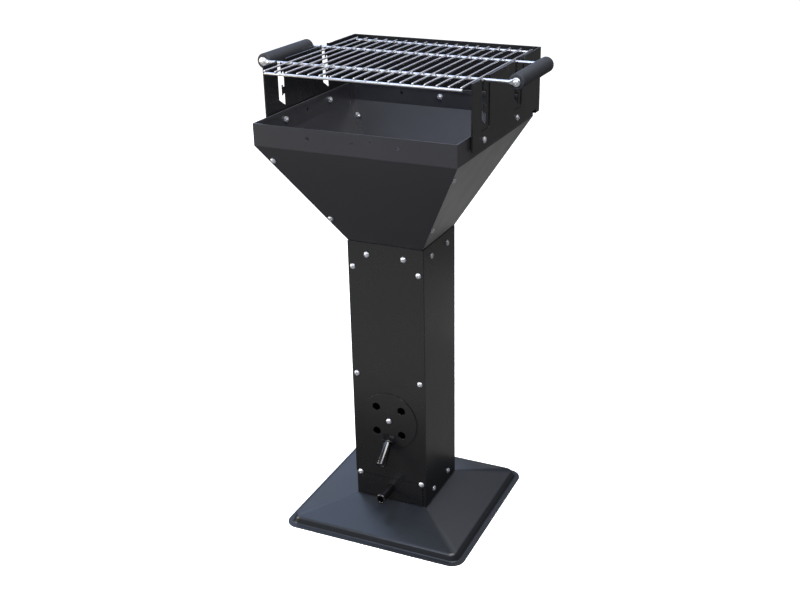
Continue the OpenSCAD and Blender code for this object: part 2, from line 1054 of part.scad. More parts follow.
module vent_disc() {
  window_w = vent_tab_w + 2 * vent_tab_relief;
  color("#1f1f21") placed()
    difference() {
      union() {
        difference() {
          out_of_front(0, vent_back, vent_z)
            cylinder(d = vent_d, h = sheet_t, $fn = 96);
          translate([-window_w / 2, -vent_back - sheet_t - cut, vent_fold])
            cube([window_w, sheet_t + 2 * cut, vent_tab_l + vent_tab_relief]);
        }
        to_right(-vent_tab_w / 2, vent_tab_w)
          vent_tab_outline();
      }
      vent_place() {
        vent_holes(sheet_t);
        translate([0, 0, -sheet_t - cut])
          cylinder(r = screw_r + pivot_gap, h = sheet_t + 2 * cut);
      }
      on_vent_tab()
        drill(sheet_t);
    }
}

// Turned knob standing on Z = 0, with a deep hollow in its end
module knob() {
  end_r = knob_end_d / 2;
  difference() {
    rotate_extrude()
      difference() {
        union() {
          polygon([
            [0, 0],
            [knob_base_d / 2, 0],
            [end_r, knob_l - knob_round],
            [end_r - knob_round, knob_l],
            [0, knob_l]
          ]);
          translate([end_r - knob_round, knob_l - knob_round])
            circle(knob_round);
        }
        translate([0, knob_l - knob_hollow_l])
          square([knob_hollow_d / 2, knob_hollow_l + cut]);
      }
    translate([0, 0, -cut])
      cylinder(r = screw_r + thread_gap, h = knob_thread_l + 2 * cut);
  }
}

// Screw of a knob, put through a grip from behind
module knob_screw(grip) {
  translate([0, 0, -grip])
    rotate([180, 0, 0])
      pan_head();
  translate([0, 0, -grip])
    cylinder(r = screw_r, h = grip + knob_thread_l);
}

module vent_knob() {
  color("#141415") placed()
    on_vent_tab()
      knob();
}

module vent_knob_screw() {
  color("silver") placed()
    on_vent_tab()
      knob_screw(sheet_t);
}

module ash_drawer() {
  front_y = -drawer_front_y;
  color("#262628") placed()
    difference() {
      union() {
        to_front(front_y, sheet_t)
          difference() {
            translate([-drawer_front_x, base_h + drawer_front_gap])
              square([2 * drawer_front_x, drawer_opening_h - drawer_front_gap - drawer_top_gap]);
            for (x = [-1, 1])
              translate([x * front_screw_x, opening_top])
                circle(lobe_r + drawer_top_gap);
          }
        translate([-drawer_r, front_y, drawer_z])
          cube([2 * drawer_r, drawer_l, drawer_box_h]);
      }
      translate([-drawer_r + drawer_wall, front_y + drawer_wall, drawer_z + drawer_wall])
        cube([2 * (drawer_r - drawer_wall), drawer_l - 2 * drawer_wall, drawer_box_h]);
      drawer_knob_place()
        drill(sheet_t + drawer_wall);
    }
}

// Place of the drawer's knob on its overlay front
module drawer_knob_place() {
  out_of_front(0, drawer_front_y + sheet_t, drawer_knob_z)
    children();
}

module drawer_knob() {
  color("#141415") placed()
    drawer_knob_place()
      knob();
}

module drawer_knob_screw() {
  color("silver") placed()
    drawer_knob_place()
      knob_screw(sheet_t + drawer_wall);
}

// Puts a piece of the cooking grate where the loose grate lies
module on_grate(y, z) {
  translate([grate_shift, y, z])
    children();
}

module grate_bars() {
  l = grate_d + wire_d;
  step = grate_w / (grate_bar_count - 1);
  color("gainsboro") placed()
    on_grate(front_wire_y - wire_d / 2, bars_z)
      for (i = [0 : grate_bar_count - 1])
        translate([i * step - grate_w / 2, 0, 0])
          rotate([-90, 0, 0])
            cylinder(d = bar_d, h = l);
}

module grate_cross_wires() {
  l = grate_w + bar_d;
  color("gainsboro") placed()
    for (y = [front_wire_y, rear_wire_y])
      on_grate(y, wires_z)
        translate([-l / 2, 0, 0])
          rotate([0, 90, 0])
            cylinder(d = wire_d, h = l);
}

// Flat eyelet with its taper, drawn in X and Z with the rod's axis on Z = 0
module eyelet_outline() {
  flat_x = handle_x - handle_d / 2 - eyelet_t;
  translate([handle_x, 0])
    circle(eyelet_d / 2);
  polygon([
    [flat_x, -rod_r],
    [handle_x, -eyelet_d / 2],
    [handle_x, eyelet_d / 2],
    [flat_x, rod_r]
  ]);
}

// Carrying rod with a flat eyelet at each end
module grate_rod() {
  flat_x = handle_x - handle_d / 2 - eyelet_t / 2;
  difference() {
    union() {
      translate([-flat_x, 0, 0])
        rotate([0, 90, 0])
          cylinder(r = rod_r, h = 2 * flat_x);
      for (side = [0, 1])
        mirror([side, 0, 0])
          to_front(eyelet_t / 2, eyelet_t)
            eyelet_outline();
    }
    for (x = [-handle_x, handle_x])
      translate([x, eyelet_t / 2 + cut, 0])
        rotate([90, 0, 0])
          cylinder(r = hole_r, h = eyelet_t + 2 * cut);
  }
}

module grate_rod_front() {
  color("gainsboro") placed()
    on_grate(rod_y, rod_z)
      grate_rod();
}

module grate_rod_rear() {
  color("gainsboro") placed()
    on_grate(rod_y + slot_pitch, rod_z)
      grate_rod();
}

// Handle between the two rods, from eyelet to eyelet
module handle(side) {
  l = slot_pitch - eyelet_t;
  r = handle_d / 2;
  on_grate(rod_y + eyelet_t / 2, rod_z)
    translate([side * handle_x, 0, 0])
      rotate([-90, 0, 0])
        difference() {
          rotate_extrude($fn = 64)
            union() {
              translate([0, handle_round])
                square([r, l - 2 * handle_round]);
              square([r - handle_round, l]);
              for (z = [handle_round, l - handle_round])
                translate([r - handle_round, z])
                  circle(handle_round);
            }
          for (z = [-cut, l - handle_bolt_l - cut])
            translate([0, 0, z])
              cylinder(r = screw_r + thread_gap, h = handle_bolt_l + 2 * cut);
        }
}

module handle_left() {
  color("#2f3033") placed()
    handle(-1);
}

module handle_right() {
  color("#2f3033") placed()
    handle(1);
}

// Bolt through an eyelet into a handle's end, its own Z pointing away from the handle
module handle_bolt() {
  cylinder(d1 = bolt_head_d, d2 = bolt_head_d - bolt_head_h, h = bolt_head_h);
  translate([0, 0, -eyelet_t - handle_bolt_l])
    cylinder(r = screw_r, h = eyelet_t + handle_bolt_l);
}

module handle_bolts() {
  color("silver") placed()
    for (x = [-handle_x, handle_x]) {
      on_grate(rod_y - eyelet_t / 2, rod_z)
        translate([x, 0, 0])
          rotate([90, 0, 0])
            handle_bolt();
      on_grate(rod_y + slot_pitch + eyelet_t / 2, rod_z)
        translate([x, 0, 0])
          rotate([-90, 0, 0])
            handle_bolt();
    }
}

module charcoal_grate_wires() {
  color("#3c3c3e") placed()
    for (side = [-1, 0, 1])
      translate([-coal_x, side * (coal_y - coal_margin), coal_z])
        rotate([0, 90, 0])
          cylinder(d = coal_wire_d, h = 2 * coal_x);
}

module charcoal_grate_bars() {
  color("#3c3c3e") placed()
    for (i = [0 : coal_gaps])
      translate([2 * coal_bar_x * i / coal_gaps - coal_bar_x, -coal_y, coal_z + coal_wire_d])
        rotate([-90, 0, 0])
          cylinder(d = coal_wire_d, h = 2 * coal_y);
}

base_plate();
base_bracket_left();
base_bracket_right();
base_bolts();
base_nuts();
bracket_screws();
bracket_nuts();
column_shell();
column_front_panel();
front_panel_screws();
front_panel_nuts();
funnel_panel_front();
funnel_panel_right();
funnel_panel_back();
funnel_panel_left();
hip_screws();
hip_nuts();
skirt_screws();
skirt_nuts();
hanger_plate_left();
hanger_plate_right();
side_panel_left();
side_panel_right();
side_panel_screws();
side_panel_spacers();
side_panel_nuts();
back_shield();
back_shield_screw();
back_shield_nut();
vent_pivot_screw();
vent_pivot_washer();
vent_pivot_nut();
vent_disc();
vent_knob();
vent_knob_screw();
ash_drawer();
drawer_knob();
drawer_knob_screw();
grate_bars();
grate_cross_wires();
grate_rod_front();
grate_rod_rear();
handle_left();
handle_right();
handle_bolts();
charcoal_grate_wires();
charcoal_grate_bars();
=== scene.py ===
"""Looks of a pedestal barbecue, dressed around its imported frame.

Every length is in metres in the frame's own axes. MM turns a size in millimetres into metres.
"""

import logging
import math
from collections.abc import Callable, Iterable, Sequence
from dataclasses import dataclass, field
from enum import Enum

import bmesh
import bpy
from mathutils import Matrix, Vector


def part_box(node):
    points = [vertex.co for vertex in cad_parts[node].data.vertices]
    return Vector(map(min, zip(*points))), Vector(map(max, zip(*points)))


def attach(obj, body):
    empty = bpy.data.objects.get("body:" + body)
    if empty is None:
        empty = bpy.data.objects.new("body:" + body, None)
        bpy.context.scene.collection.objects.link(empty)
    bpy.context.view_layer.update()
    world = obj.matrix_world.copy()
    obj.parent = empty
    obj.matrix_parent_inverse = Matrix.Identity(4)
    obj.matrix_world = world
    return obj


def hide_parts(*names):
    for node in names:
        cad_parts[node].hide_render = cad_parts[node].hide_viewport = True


MM = 0.001
NOISE = "ShaderNodeTexNoise"
SHARP_EDGE = math.radians(38)
SAME_POINT = 0.001 * MM
SAME_PLANE = 0.01 * MM
WIDER_END = 0.1 * MM
log = logging.getLogger("barbecue")
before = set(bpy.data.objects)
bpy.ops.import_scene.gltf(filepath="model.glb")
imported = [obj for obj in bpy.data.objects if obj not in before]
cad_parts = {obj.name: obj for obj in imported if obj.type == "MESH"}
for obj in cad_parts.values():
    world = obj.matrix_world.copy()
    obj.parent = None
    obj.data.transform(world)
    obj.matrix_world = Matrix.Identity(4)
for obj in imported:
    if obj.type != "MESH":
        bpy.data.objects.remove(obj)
bpy.context.view_layer.update()


class Body(Enum):
    """Bodies of the frame that a piece can ride on."""

    PEDESTAL = "pedestal"
    VENT = "vent"
    DRAWER = "drawer"
    COOKING_GRATE = "cooking_grate"
    CHARCOAL_GRATE = "charcoal_grate"


class Slot(Enum):
    """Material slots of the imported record."""

    BLACK_COAT = "black_powder_coat"
    # The base's slot: its lighter, bluish coat is painted sky light.
    BASE_COAT = "slate_powder_coat"
    # The funnel's slot: its lighter coat is painted light.
    FUNNEL_COAT_PAINTED_LIGHT = "charcoal_powder_coat"
    CHROME = "chrome_wire"
    ZINC = "zinc_screws"
    KNOB = "black_phenolic"
    GRIP = "handle_grip"
    ENAMEL = "black_enamel"


def linear(code: str) -> tuple[float, float, float, float]:
    """Turns an sRGB colour into the linear one that a shader takes.

    Args:
        code: The colour as "#rrggbb".

    Returns:
        Linear red, green, blue and an alpha of one.
    """
    shares = [int(code[i : i + 2], 16) / 255 for i in (1, 3, 5)]
    return (*(c / 12.92 if c <= 0.04045 else ((c + 0.055) / 1.055) ** 2.4 for c in shares), 1.0)


def add_node(tree: bpy.types.NodeTree, kind: str, inputs: dict | None = None, **settings) -> bpy.types.Node:
    """Adds one node to a tree.

    Args:
        tree: The tree that gets the node.
        kind: The node's type name.
        inputs: Socket names or numbers with a value to set or a socket to link.
        settings: Properties of the node itself.

    Returns:
        The new node.
    """
    node = tree.nodes.new(kind)
    for name, value in settings.items():
        setattr(node, name, value)
    for name, value in (inputs or {}).items():
        if isinstance(value, bpy.types.NodeSocket):
            tree.links.new(value, node.inputs[name])
        else:
            node.inputs[name].default_value = value
    return node


def blank_material(name: str) -> tuple[bpy.types.Material, bpy.types.NodeTree, bpy.types.Node]:
    """Makes an empty material.

    Args:
        name: The material's name.

    Returns:
        The material, its node tree and the node that gives object coordinates.
    """
    material = bpy.data.materials.new(name)
    material.use_nodes = True
    tree = material.node_tree
    tree.nodes.clear()
    return material, tree, add_node(tree, "ShaderNodeTexCoord")


def close_material(tree: bpy.types.NodeTree, shader: bpy.types.Node) -> None:
    """Links a shader to a new material output."""
    add_node(tree, "ShaderNodeOutputMaterial", {"Surface": shader.outputs[0]})


@dataclass(frozen=True)
class PowderCoat:
    """Polyester powder baked on steel sheet: satin, nearly black, with a fine orange peel.

    The peel breaks every reflection into a soft grain, and thin patches shine a little more.
    """

    name: str
    colour: str
    thin_colour: str
    roughness: float
    roughness_swing: float = 0.05
    specular: float = 0.5
    # Real orange peel is about 2 mm across. It is drawn twice as coarse, so that it shows.
    peel: float = 4 * MM
    peel_height: float = 0.03 * MM
    # Real powder grains are about 0.1 mm, and are drawn coarser for the same reason.
    grit: float = 0.8 * MM
    grit_height: float = 0.003 * MM
    patch: float = 60 * MM

    def material(self) -> bpy.types.Material:
        """Builds the material.

        Returns:
            The finished material.
        """
        material, tree, place = blank_material(self.name)
        spot = place.outputs["Object"]
        cloud = add_node(tree, NOISE, {"Vector": spot, "Scale": 1 / self.patch, "Detail": 3.0})
        tint = add_node(
            tree,
            "ShaderNodeMix",
            {"Factor": cloud.outputs["Fac"], "A": linear(self.colour), "B": linear(self.thin_colour)},
            data_type="RGBA",
        )
        shine = add_node(
            tree,
            "ShaderNodeMapRange",
            {
                "Value": cloud.outputs["Fac"],
                "To Min": self.roughness + self.roughness_swing,
                "To Max": self.roughness - self.roughness_swing,
            },
        )
        peel = add_node(tree, NOISE, {"Vector": spot, "Scale": 1 / self.peel, "Detail": 1.0})
        grit = add_node(tree, NOISE, {"Vector": spot, "Scale": 1 / self.grit, "Detail": 0.0})
        wavy = add_node(
            tree, "ShaderNodeBump", {"Height": peel.outputs["Fac"], "Distance": self.peel_height}
        )
        rough = add_node(
            tree,
            "ShaderNodeBump",
            {"Height": grit.outputs["Fac"], "Distance": self.grit_height, "Normal": wavy.outputs["Normal"]},
        )
        shader = add_node(
            tree,
            "ShaderNodeBsdfPrincipled",
            {
                "Base Color": tint.outputs["Result"],
                "Roughness": shine.outputs["Result"],
                "IOR": 1.5,
                "Specular IOR Level": self.specular,
                "Normal": rough.outputs["Normal"],
            },
        )
        close_material(tree, shader)
        return material


@dataclass(frozen=True)
class PlatedMetal:
    """Bright plating on steel: chrome on the drawn wires, zinc on the screws.

    Chrome mirrors its surroundings in long streaks, and zinc is whiter and more scattered.
    """

    name: str
    colour: str
    dull_colour: str
    roughness: float
    metallic: float = 1.0
    roughness_swing: float = 0.06
    # Real plating has a grain of about 0.2 mm. It is drawn coarser, so that it shows.
    grain: float = 0.8 * MM
    grain_height: float = 0.01 * MM

    def material(self) -> bpy.types.Material:
        """Builds the material.

        Returns:
            The finished material.
        """
        material, tree, place = blank_material(self.name)
        grain = add_node(
            tree,
            NOISE,
            {"Vector": place.outputs["Object"], "Scale": 1 / self.grain, "Detail": 2.0},
        )
        tint = add_node(
            tree,
            "ShaderNodeMix",
            {"Factor": grain.outputs["Fac"], "A": linear(self.dull_colour), "B": linear(self.colour)},
            data_type="RGBA",
        )
        shine = add_node(
            tree,
            "ShaderNodeMapRange",
            {
                "Value": grain.outputs["Fac"],
                "To Min": self.roughness + self.roughness_swing,
                "To Max": self.roughness - self.roughness_swing,
            },
        )
        drawn = add_node(
            tree, "ShaderNodeBump", {"Height": grain.outputs["Fac"], "Distance": self.grain_height}
        )
        shader = add_node(
            tree,
            "ShaderNodeBsdfPrincipled",
            {
                "Base Color": tint.outputs["Result"],
                "Metallic": self.metallic,
                "Roughness": shine.outputs["Result"],
                "Normal": drawn.outputs["Normal"],
            },
        )
        close_material(tree, shader)
        return material


@dataclass(frozen=True)
class Phenolic:
    """Phenolic resin: pressed glossy for the knobs, stippled and matt for the hand grips.

    The gloss gives one hard bright streak down a knob, and the stipple a dull bluish sheen.
    """

    name: str
    colour: str
    pale_colour: str
    roughness: float
    specular: float = 0.5
    # Real stipple is about 0.7 mm wide. It is drawn coarser, so that it shows.
    stipple: float = 1.5 * MM
    stipple_height: float = 0.0
    flow: float = 12 * MM

    def material(self) -> bpy.types.Material:
        """Builds the material.

        Returns:
            The finished material.
        """
        material, tree, place = blank_material(self.name)
        spot = place.outputs["Object"]
        flow = add_node(tree, NOISE, {"Vector": spot, "Scale": 1 / self.flow, "Detail": 4.0})
        pits = add_node(tree, "ShaderNodeTexVoronoi", {"Vector": spot, "Scale": 1 / self.stipple})
        tint = add_node(
            tree,
            "ShaderNodeMix",
            {"Factor": flow.outputs["Fac"], "A": linear(self.colour), "B": linear(self.pale_colour)},
            data_type="RGBA",
        )
        skin = add_node(
            tree, "ShaderNodeBump", {"Height": pits.outputs["Distance"], "Distance": self.stipple_height}
        )
        shader = add_node(
            tree,
            "ShaderNodeBsdfPrincipled",
            {
                "Base Color": tint.outputs["Result"],
                "Roughness": self.roughness,
                "IOR": 1.6,
                "Specular IOR Level": self.specular,
                "Normal": skin.outputs["Normal"],
            },
        )
        close_material(tree, shader)
        return material


FINISHES = {
    Slot.BLACK_COAT: PowderCoat("satin_black_powder_coat", "#171718", "#1c1c1d", roughness=0.28),
    # The base pressing gets a lighter, bluish copy of the black coat. This is painted light, standing in for
    # the cool sky light on its upward facets.
    Slot.BASE_COAT: PowderCoat("black_coat_with_painted_sky_light_on_pressing", "#1e2023", "#23262a", roughness=0.3),
    # The funnel panels get a lighter copy of the black coat. This is painted light, standing in for the
    # overhead sky light that their insides catch.
    Slot.FUNNEL_COAT_PAINTED_LIGHT: PowderCoat("black_coat_lightened_for_painted_light", "#2c2c2f", "#323236", roughness=0.3),
    Slot.ENAMEL: PowderCoat("black_vitreous_enamel", "#141415", "#1a1a1b", roughness=0.3),
    Slot.CHROME: PlatedMetal("chrome_plated_wire", "#f0f0f2", "#d6d6d9", roughness=0.32),
    Slot.ZINC: PlatedMetal("zinc_plated_steel", "#efeff1", "#d2d2d6", roughness=0.44, metallic=0.75),
    Slot.KNOB: Phenolic("glossy_black_phenolic", "#0a0a0b", "#0f0f10", roughness=0.18, specular=0.8),
    Slot.GRIP: Phenolic(
        "matt_stippled_phenolic",
        "#222428",
        "#2b2d32",
        roughness=0.6,
        specular=0.35,
        stipple_height=0.12 * MM,
    ),
}


class FinishShelf:
    """Keeps one built material for each slot."""

    def __init__(self) -> None:
        """Starts with an empty shelf."""
        self._built: dict[Slot, bpy.types.Material] = {}

    def get(self, slot: Slot) -> bpy.types.Material:
        """Gives a slot's material, built at its first use.

        Args:
            slot: The record's slot.

        Returns:
            The material.
        """
        if slot not in self._built:
            self._built[slot] = FINISHES[slot].material()
        return self._built[slot]


SHELF = FinishShelf()


def add_piece(
    name: str, form: bmesh.types.BMesh, body: Body, slot: Slot, replaced: Iterable[str] = ()
) -> None:
    """Turns a form into a piece of the object.

    Args:
        name: The piece's name.
        form: Its mesh, which is freed.
        body: The body that it rides on.
        slot: The slot that gives its finish.
        replaced: CAD nodes that it stands for.
    """
    bmesh.ops.recalc_face_normals(form, faces=form.faces)
    mesh = bpy.data.meshes.new(name)
    form.to_mesh(mesh)
    form.free()
    mesh.shade_smooth()
    mesh.set_sharp_from_angle(angle=SHARP_EDGE)
    mesh.materials.append(SHELF.get(slot))
    piece = bpy.data.objects.new(name, mesh)
    bpy.context.scene.collection.objects.link(piece)
    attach(piece, body.value)
    if replaced:
        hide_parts(*replaced)
    log.info("%s: %d faces on %s", name, len(mesh.polygons), body.value)


def add_loft(form: bmesh.types.BMesh, rings: Sequence[Sequence[Vector]], closed: bool = False) -> None:
    """Skins rings of equally many points; unless it is closed, its two ends are capped.

    Args:
        form: The mesh that gets the skin.
        rings: The rings in order. A ring of one point is a tip.
        closed: Whether the last ring joins the first.
    """
    rows = [[form.verts.new(p) for p in ring] for ring in rings]
    pairs = list(zip(rows, rows[1:]))
    if closed:
        pairs.append((rows[-1], rows[0]))
    for a, b in pairs:
        n = max(len(a), len(b))
        for i in range(n):
            j = (i + 1) % n
            if len(a) == 1:
                form.faces.new((a[0], b[j], b[i]))
            elif len(b) == 1:
                form.faces.new((a[i], a[j], b[0]))
            else:
                form.faces.new((a[i], a[j], b[j], b[i]))
    for row in () if closed else (rows[0], rows[-1]):
        if len(row) > 1:
            form.faces.new(row)


def circle(radius: float, z: float, sectors: int) -> list[Vector]:
    """Gives the points of a level circle about the Z axis, or one point if it has no radius."""
    if radius == 0:
        return [Vector((0, 0, z))]
    step = 2 * math.pi / sectors
    return [Vector((radius * math.cos(i * step), radius * math.sin(i * step), z)) for i in range(sectors)]


def add_lathe(form: bmesh.types.BMesh, profile: Sequence[tuple], sectors: int, closed: bool = False) -> None:
    """Revolves a profile of radius and height about the Z axis."""
    add_loft(form, [circle(r, z, sectors) for r, z in profile], closed)


def fillet(before: tuple, corner: tuple, after: tuple, radius: float, steps: int = 5) -> list[tuple]:
    """Rounds one corner of a profile.

    Args:
        before: The point before the corner.
        corner: The corner itself.
        after: The point after it.
        radius: Radius of the arc.
        steps: Number of segments of the arc.

    Returns:
        Points along the arc, from the first tangent point to the last.
    """
    c = Vector(corner)
    u, v = (Vector(before) - c).normalized(), (Vector(after) - c).normalized()
    half = u.angle(v) / 2
    reach = radius / math.tan(half)
    middle = c + (u + v).normalized() * (radius / math.sin(half))
    start, end = c + u * reach - middle, c + v * reach - middle
    turn = start.angle(end)
    shares = [i / steps for i in range(steps + 1)]
    return [
        tuple(middle + (start * math.sin((1 - s) * turn) + end * math.sin(s * turn)) / math.sin(turn))
        for s in shares
    ]


def rounded(corners: Sequence[tuple], radii: Sequence[float]) -> list[tuple]:
    """Rounds the corners of an open profile.

    Args:
        corners: The profile's points.
        radii: A radius for each; zero keeps the corner sharp.

    Returns:
        The profile with its arcs.
    """
    points: list[tuple] = []
    for i, (corner, radius) in enumerate(zip(corners, radii)):
        if radius == 0:
            points.append(tuple(corner))
        else:
            points += fillet(corners[i - 1], corner, corners[i + 1], radius)
    return points


def stand(form: bmesh.types.BMesh, foot: Vector, along: Vector) -> None:
    """Turns a form that stands on the origin so that it stands on foot and points along."""
    turn = Vector((0, 0, 1)).rotation_difference(along).to_matrix().to_4x4()
    bmesh.ops.transform(form, matrix=Matrix.Translation(foot) @ turn, verts=form.verts)


def merge(form: bmesh.types.BMesh, other: bmesh.types.BMesh) -> None:
    """Adds a second form to the first and frees it."""
    mesh = bpy.data.meshes.new("merged")
    other.to_mesh(mesh)
    other.free()
    form.from_mesh(mesh)
    bpy.data.meshes.remove(mesh)


@dataclass(frozen=True)
class Turned:
    """A straight solid of the frame: its narrow end's middle, its direction and its length."""

    foot: Vector
    along: Vector
    length: float

    def at(self, distance: float) -> Vector:
        """Gives the point at a distance from the foot."""
        return self.foot + self.along * distance


def islands(form: bmesh.types.BMesh) -> list[list[bmesh.types.BMVert]]:
    """Splits a mesh into its separate solids.

    Args:
        form: The mesh.

    Returns:
        The vertices of each solid.
    """
    left = set(form.verts)
    found = []
    while left:
        group, front = set(), [left.pop()]
        while front:
            vert = front.pop()
            group.add(vert)
            near = {edge.other_vert(vert) for edge in vert.link_edges} & left
            left -= near
            front += near
        found.append(sorted(group, key=lambda v: v.index))
    return sorted(found, key=lambda g: g[0].index)


def loose_solids(node: str) -> list[bmesh.types.BMesh]:
    """Splits one CAD node into its separate solids.

    Args:
        node: The CAD node's name.

    Returns:
        A form for each solid.
    """
    form = bmesh.new()
    form.from_mesh(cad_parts[node].data)
    bmesh.ops.remove_doubles(form, verts=form.verts, dist=SAME_POINT)
    form.verts.index_update()
    found = []
    for group in islands(form):
        numbers = {vert.index: i for i, vert in enumerate(group)}
        solid = bmesh.new()
        verts = [solid.verts.new(vert.co) for vert in group]
        for face in sorted({f for vert in group for f in vert.link_faces}, key=lambda f: f.index):
            solid.faces.new([verts[numbers[vert.index]] for vert in face.verts])
        solid.normal_update()
        found.append(solid)
    form.free()
    return found


def turned_solids(node: str) -> list[Turned]:
    """Measures the screws, nuts or knobs of one CAD node.

    A solid's axis is square to its largest flat side, and it points to its wide end.

    Args:
        node: The CAD node's name.

    Returns:
        One measure for each solid.
    """
    found = []
    for solid in loose_solids(node):
        flats: dict[tuple, float] = {}
        for face in solid.faces:
            key = tuple(round(c, 2) + 0.0 for c in face.normal)
            flats[key] = flats.get(key, 0) + face.calc_area()
        axis = Vector(max(sorted(flats), key=lambda k: flats[k])).normalized()
        places = [vert.co.copy() for vert in solid.verts]
        solid.free()
        spans = [p.dot(axis) for p in places]
        low, high = min(spans), max(spans)
        mids, widths = [], []
        for end in (low, high):
            rim = [p for p, s in zip(places, spans) if abs(s - end) < SAME_PLANE]
            mid = sum(rim, Vector()) / len(rim)
            near = [p - mid for p, s in zip(places, spans) if abs(s - end) < (high - low) / 5]
            mids.append(mid)
            widths.append(max((p - axis * p.dot(axis)).length for p in near))
        if widths[0] > widths[1] + WIDER_END:
            axis, mids = -axis, mids[::-1]
        found.append(Turned(mids[0], axis, high - low))
    return found


def straight_wires(node: str) -> list[Turned]:
    """Measures the wires of one CAD node, each of which runs along X or Y.

    Args:
        node: The CAD node's name.

    Returns:
        One measure for each wire.
    """
    found = []
    for solid in loose_solids(node):
        places = [vert.co.copy() for vert in solid.verts]
        solid.free()
        low, high = (Vector([pick(p[i] for p in places) for i in range(3)]) for pick in (min, max))
        span = high - low
        way = max(range(3), key=lambda i: span[i])
        foot = (low + high) / 2
        foot[way] = low[way]
        found.append(Turned(foot, Vector([float(i == way) for i in range(3)]), span[way]))
    return found


@dataclass
class SheetMetal:
    """Folded sheets, which keep their CAD form and get a coated edge."""

    edge: float = 0.45 * MM
    edge_angle: float = math.radians(25)
    flat_angle: float = math.radians(0.5)
    weld: float = 0.002 * MM
    black: tuple[str, ...] = (
        "column_shell",
        "column_front_panel",
        "hanger_plate_left",
        "hanger_plate_right",
        "side_panel_left",
        "side_panel_right",
        "back_shield",
        "vent_disc",
        "ash_drawer",
        "base_bracket_left",
        "base_bracket_right",
    )
    # The funnel panels take the lighter copy of the black coat, as painted light.
    funnel_sheets_painted_light: tuple[str, ...] = (
        "funnel_panel_front",
        "funnel_panel_right",
        "funnel_panel_back",
        "funnel_panel_left",
    )
    zinc: tuple[str, ...] = ("side_panel_spacers", "vent_pivot_washer")

    def shade_group(self) -> bpy.types.NodeTree:
        """Makes the small geometry group that shades a sheet smooth over its rounded edges.

        Returns:
            The node group.
        """
        tree = bpy.data.node_groups.new("smooth_coat", "GeometryNodeTree")
        for way in ("INPUT", "OUTPUT"):
            tree.interface.new_socket("Geometry", in_out=way, socket_type="NodeSocketGeometry")
        start = add_node(tree, "NodeGroupInput")
        smooth = add_node(tree, "GeometryNodeSetShadeSmooth", {"Geometry": start.outputs[0]})
        add_node(tree, "NodeGroupOutput", {"Geometry": smooth.outputs[0]})
        return tree

    def dress(self, node: str, slot: Slot, group: bpy.types.NodeTree) -> None:
        """Coats one sheet and rounds its edges.

        Args:
            node: The CAD node's name.
            slot: The slot that gives its finish.
            group: The group that shades it smooth.
        """
        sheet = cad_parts[node]
        for place in sheet.material_slots:
            place.material = SHELF.get(slot)
        join = sheet.modifiers.new("join", "WELD")
        join.merge_threshold = self.weld
        flat = sheet.modifiers.new("flat", "DECIMATE")
        flat.decimate_type = "DISSOLVE"
        flat.angle_limit = self.flat_angle
        sheet.modifiers.new("smooth", "NODES").node_group = group
        edge = sheet.modifiers.new("edge", "BEVEL")
        edge.width = self.edge
        edge.segments = 2
        edge.limit_method = "ANGLE"
        edge.angle_limit = self.edge_angle
        even = sheet.modifiers.new("even", "WEIGHTED_NORMAL")
        even.keep_sharp = False
        log.info("%s: coated", node)

    def build(self) -> None:
        """Dresses every sheet."""
        group = self.shade_group()
        finishes = ((self.black, Slot.BLACK_COAT), (self.funnel_sheets_painted_light, Slot.FUNNEL_COAT_PAINTED_LIGHT), (self.zinc, Slot.ZINC))
        for nodes, slot in finishes:
            for node in nodes:
                self.dress(node, slot, group)


@dataclass(frozen=True)
class Ring:
    """A level rectangle with round corners."""

    half_x: float
    half_y: float
    corner: float
    z: float

    def mix(self, other: "Ring", share: float) -> "Ring":
        """Blends this ring with another.

        Args:
            other: The other ring.
            share: How much of the other it takes.

        Returns:
            The blended ring.
        """
        pairs = (
            (self.half_x, other.half_x),
            (self.half_y, other.half_y),
            (self.corner, other.corner),
            (self.z, other.z),
        )
        return Ring(*(a + (b - a) * share for a, b in pairs))

    def gap(self, other: "Ring") -> float:
        """Gives the length of the section between two rings."""
        return math.hypot(self.half_x - other.half_x, self.z - other.z)

    def points(self, middle: Vector, steps: int) -> list[Vector]:
        """Gives the ring's points.

        Args:
            middle: The point that it lies about.
            steps: Number of segments of each corner.

        Returns:
            The points, anticlockwise.
        """
        found = []
        for quarter, (sx, sy) in enumerate(((1, 1), (-1, 1), (-1, -1), (1, -1))):
            for i in range(steps + 1):
                turn = math.radians(90) * (quarter + i / steps)
                x = sx * (self.half_x - self.corner) + self.corner * math.cos(turn)
                y = sy * (self.half_y - self.corner) + self.corner * math.sin(turn)
                found.append(middle + Vector((x, y, self.z)))
        return found


